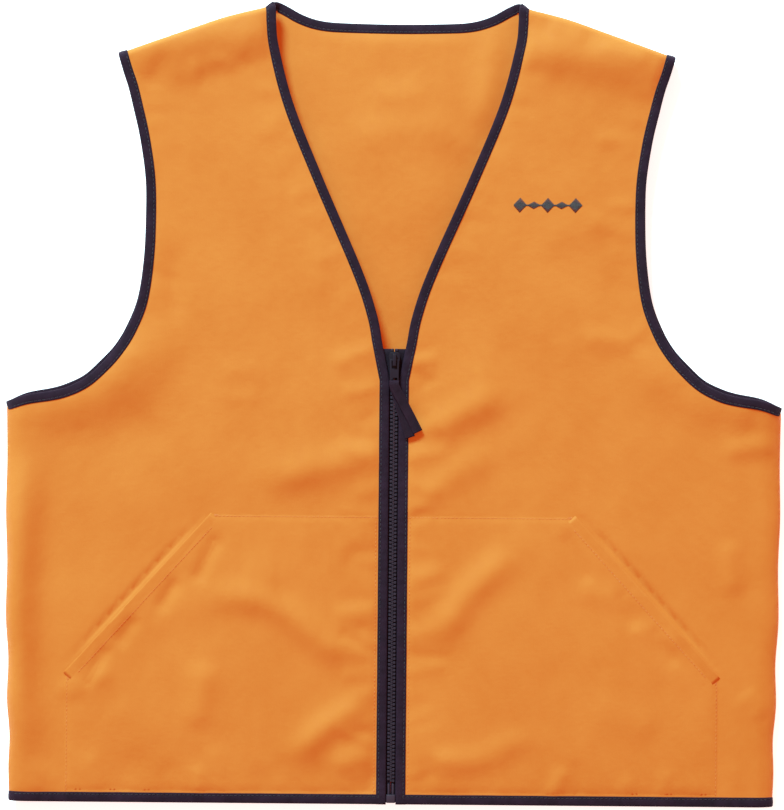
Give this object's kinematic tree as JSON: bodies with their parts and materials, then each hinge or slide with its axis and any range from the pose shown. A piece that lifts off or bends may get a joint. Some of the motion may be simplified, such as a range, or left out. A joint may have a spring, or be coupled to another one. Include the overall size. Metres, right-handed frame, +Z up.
{
  "type": "blaze orange vest",
  "caption": "Zip-front sleeveless field vest lying flat, with a V neck, slanted patch pockets and bound edges.",
  "frame": {"origin": "on the surface it lies on, under the centre of its bounding box", "axes": "+X to the wearer's left, +Y from hem to collar, +Z up out of the front"},
  "size_m": [0.61, 0.63, 0.0219],
  "materials": {
    "orange_cloth": "woven polyester, soft sheen",
    "orange_thread": "matte polyester thread",
    "black_binding": "fine ribbed binding tape, matte",
    "dark_thread": "satin-stitch embroidery thread",
    "zip_tape": "woven twill tape, matte",
    "black_resin": "moulded acetal, low gloss",
    "black_metal": "black painted die-cast, satin",
    "ribbon": "grosgrain ribbon"
  },
  "bodies": {
    "vest_body": {"back_panel": "orange_cloth", "front_yoke_left": "orange_cloth", "front_yoke_right": "orange_cloth", "side_seam_left": "orange_thread", "side_seam_right": "orange_thread", "shoulder_seam_left": "orange_thread", "shoulder_seam_right": "orange_thread", "armhole_binding_left": "black_binding", "armhole_binding_right": "black_binding", "back_neck_binding": "black_binding", "back_hem_binding": "black_binding"},
    "front_left": {"front_panel_left": "orange_cloth", "front_edge_binding_left": "black_binding", "front_hem_binding_left": "black_binding", "pocket_left": "orange_cloth", "pocket_stitching_left": "orange_thread", "pocket_bartack_upper_left": "orange_thread", "pocket_bartack_lower_left": "orange_thread", "chest_emblem": "dark_thread", "zip_tape_left": "zip_tape", "zip_teeth_left": "black_resin", "zip_top_stop_left": "black_resin", "zip_insertion_pin": "black_resin"},
    "front_right": {"front_panel_right": "orange_cloth", "front_edge_binding_right": "black_binding", "front_hem_binding_right": "black_binding", "pocket_right": "orange_cloth", "pocket_stitching_right": "orange_thread", "pocket_bartack_upper_right": "orange_thread", "pocket_bartack_lower_right": "orange_thread", "zip_tape_right": "zip_tape", "zip_teeth_right": "black_resin", "zip_top_stop_right": "black_resin", "zip_retainer_pin": "black_resin", "zip_retainer_box": "black_resin"},
    "slider": {"slider_body": "black_metal", "slider_bridge": "black_metal"},
    "pull_tab": {"pull_tab": "black_metal"},
    "ribbon_pull": {"ribbon_pull": "ribbon"}
  },
  "joints": [
    {"name": "front_left_fold", "type": "hinge", "parent": "vest_body", "child": "front_left", "pos_m": [0.20025, -0.001, 0.016], "axis": [-0.2917, 0.9565, 0], "range_deg": [0, 150]},
    {"name": "front_right_fold", "type": "hinge", "parent": "vest_body", "child": "front_right", "pos_m": [-0.20025, -0.001, 0.016], "axis": [-0.2917, -0.9565, 0], "range_deg": [0, 150]},
    {"name": "slider_slide", "type": "slide", "parent": "front_right", "child": "slider", "axis": [0, -1, 0], "range_m": [0, 0.331]},
    {"name": "pull_tab_hinge", "type": "hinge", "parent": "slider", "child": "pull_tab", "pos_m": [0, 0.0333, 0.01815], "axis": [-1, 0, 0], "range_deg": [0, 150]},
    {"name": "ribbon_hinge", "type": "hinge", "parent": "pull_tab", "child": "ribbon_pull", "pos_m": [0, 0.0143, 0.01815], "axis": [-1, 0, 0], "range_deg": [0, 40]}
  ]
}
